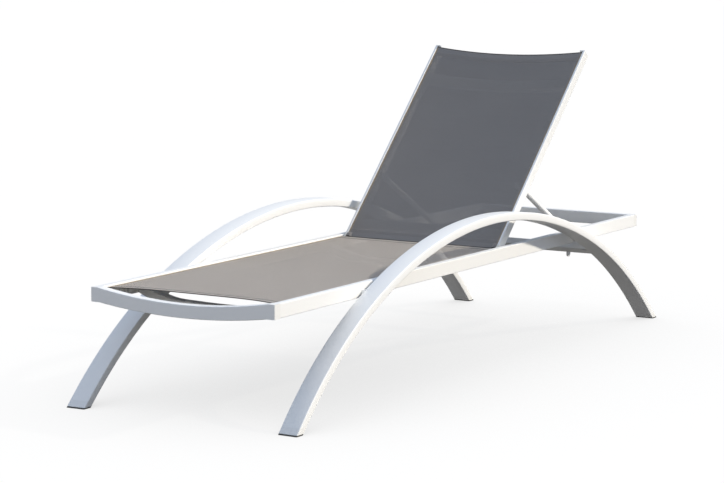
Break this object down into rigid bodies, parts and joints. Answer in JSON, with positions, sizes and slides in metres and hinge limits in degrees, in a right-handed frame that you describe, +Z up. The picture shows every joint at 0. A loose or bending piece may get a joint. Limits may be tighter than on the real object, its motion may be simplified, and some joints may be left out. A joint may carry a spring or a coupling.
{
  "type": "sun lounger",
  "caption": "Sun lounger with a mesh sling on a flat white frame, bowed side legs, and a reclining backrest on a prop stay.",
  "frame": {"origin": "on the floor below the crest of the bowed legs, in the middle of the width", "axes": "+X towards the head end, +Y towards the right of a person who lies on it, +Z up"},
  "size_m": [2.0168, 0.685, 0.8202],
  "materials": {
    "white_paint": "white powder coat on aluminium",
    "sling_mesh": "woven vinyl-coated mesh, taupe grey",
    "keder": "extruded cord, brown grey",
    "white_plastic": "moulded, white",
    "cream_plastic": "moulded, cream white",
    "nylon": "moulded nylon, dark",
    "sole_rubber": "moulded rubber, dark",
    "steel_fixings": "stainless steel"
  },
  "bodies": {
    "frame": {"leg_left": "white_paint", "leg_right": "white_paint", "foot_cap_foot_left": "white_plastic", "foot_cap_head_left": "white_plastic", "foot_cap_foot_right": "white_plastic", "foot_cap_head_right": "white_plastic", "sole_foot_left": "sole_rubber", "sole_head_left": "sole_rubber", "sole_foot_right": "sole_rubber", "sole_head_right": "sole_rubber", "leg_crossbar": "white_paint", "stay_rack_left": "white_paint", "stay_rack_right": "white_paint", "leg_spacers_left": "nylon", "leg_spacers_right": "nylon", "leg_bolts_left": "steel_fixings", "leg_bolts_right": "steel_fixings", "rail_hole_plugs_left": "white_plastic", "rail_hole_plugs_right": "white_plastic", "side_rail_left": "white_paint", "side_rail_right": "white_paint", "front_bar": "white_paint", "rear_bar": "white_paint", "bar_end_caps_left": "white_plastic", "bar_end_caps_right": "white_plastic", "seat_crossbar_front": "white_paint", "seat_crossbar_rear": "white_paint", "sling_screws": "steel_fixings", "seat_sling": "sling_mesh", "seat_keder_left": "keder", "seat_keder_right": "keder", "hinge_bolts": "steel_fixings", "hinge_washers": "nylon"},
    "backrest": {"backrest_tube_left": "white_paint", "backrest_tube_right": "white_paint", "backrest_cap_left": "white_plastic", "backrest_cap_right": "white_plastic", "hinge_knuckle_left": "cream_plastic", "hinge_knuckle_right": "cream_plastic", "hinge_bush_left": "nylon", "hinge_bush_right": "nylon", "backrest_crossbar_top": "white_paint", "backrest_crossbar_lower": "white_paint", "backrest_sling": "sling_mesh", "backrest_keder_left": "keder", "backrest_keder_right": "keder", "stay_pivot_bolts": "steel_fixings", "stay_washers": "nylon"},
    "stay": {"stay_arm_left": "white_paint", "stay_arm_right": "white_paint", "stay_end_cap_left": "cream_plastic", "stay_end_cap_right": "cream_plastic", "foot_sleeve_left": "cream_plastic", "foot_sleeve_right": "cream_plastic", "stay_foot_rod": "white_paint"}
  },
  "joints": [
    {"name": "backrest_hinge", "type": "hinge", "parent": "frame", "child": "backrest", "pos_m": [0.1696, 0, 0.291], "axis": [0, -1, 0], "range_deg": [-44.4, 0]},
    {"name": "stay_pivot", "type": "hinge", "parent": "backrest", "child": "stay", "pos_m": [0.34022, 0, 0.45808], "axis": [0, -1, 0], "range_deg": [0, 70.15]}
  ],
  "couplings": [
    {"joint": "stay_pivot", "follows": "backrest_hinge", "ratio": -1.58}
  ]
}
